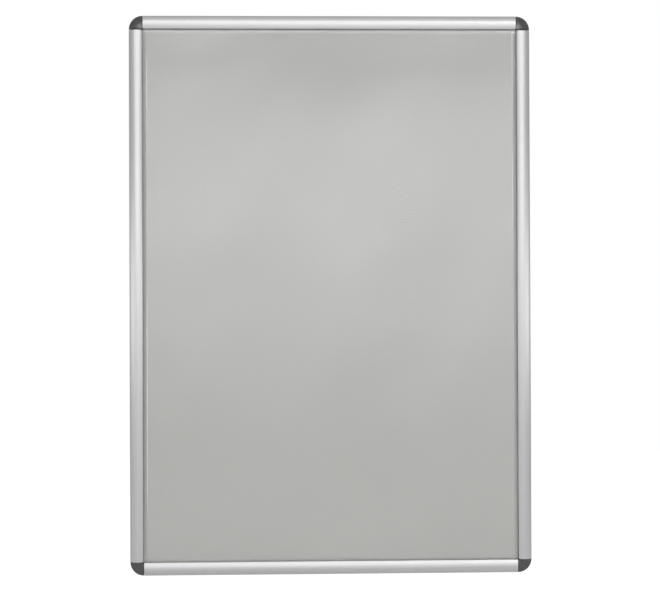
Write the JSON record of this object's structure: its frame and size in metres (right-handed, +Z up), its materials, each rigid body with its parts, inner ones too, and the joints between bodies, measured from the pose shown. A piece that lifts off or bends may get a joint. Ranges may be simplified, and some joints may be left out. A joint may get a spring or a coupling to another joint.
{
  "type": "poster frame",
  "caption": "Upright wall frame with hinged snap-open bars, quarter-round corner caps, backing panel and clear cover sheet.",
  "frame": {"origin": "centre of the back, in the wall plane, amid the four wall-screw holes", "axes": "+Z up the frame, front faces -Y so +Y goes into the wall, +X to the right as seen from the front"},
  "size_m": [0.89, 0.015, 1.238],
  "materials": {
    "anodised_aluminium": "satin silver anodised extrusion with fine lengthwise grain",
    "corner_plastic": "dark grey moulded plastic with a fine spark-eroded texture",
    "panel_board": "light grey rigid sheet, matt",
    "clear_cover": "clear anti-glare sheet, slightly wavy",
    "spring_steel": "bright tempered strip",
    "screw_steel": "zinc-plated steel"
  },
  "bodies": {
    "frame_base": {"base_rail_top": "anodised_aluminium", "springs_top": "spring_steel", "base_rail_bottom": "anodised_aluminium", "springs_bottom": "spring_steel", "base_rail_left": "anodised_aluminium", "springs_left": "spring_steel", "base_rail_right": "anodised_aluminium", "springs_right": "spring_steel", "corner_connector_top_left": "corner_plastic", "corner_cap_top_left": "corner_plastic", "corner_connector_top_right": "corner_plastic", "corner_cap_top_right": "corner_plastic", "corner_connector_bottom_left": "corner_plastic", "corner_cap_bottom_left": "corner_plastic", "corner_connector_bottom_right": "corner_plastic", "corner_cap_bottom_right": "corner_plastic", "corner_screws": "screw_steel", "back_panel": "panel_board", "cover_sheet": "clear_cover"},
    "top_bar": {"snap_bar_top": "anodised_aluminium"},
    "bottom_bar": {"snap_bar_bottom": "anodised_aluminium"},
    "left_bar": {"snap_bar_left": "anodised_aluminium"},
    "right_bar": {"snap_bar_right": "anodised_aluminium"}
  },
  "joints": [
    {"name": "top_bar_hinge", "type": "hinge", "parent": "frame_base", "child": "top_bar", "pos_m": [0, -0.005, 0.616], "axis": [-1, 0, 0], "range_deg": [0, 100], "deforming": ["springs_top"]},
    {"name": "bottom_bar_hinge", "type": "hinge", "parent": "frame_base", "child": "bottom_bar", "pos_m": [0, -0.005, -0.616], "axis": [1, 0, 0], "range_deg": [0, 100], "deforming": ["springs_bottom"]},
    {"name": "left_bar_hinge", "type": "hinge", "parent": "frame_base", "child": "left_bar", "pos_m": [-0.442, -0.005, 0], "axis": [0, 0, -1], "range_deg": [0, 100], "deforming": ["springs_left"]},
    {"name": "right_bar_hinge", "type": "hinge", "parent": "frame_base", "child": "right_bar", "pos_m": [0.442, -0.005, 0], "axis": [0, 0, 1], "range_deg": [0, 100], "deforming": ["springs_right"]}
  ]
}
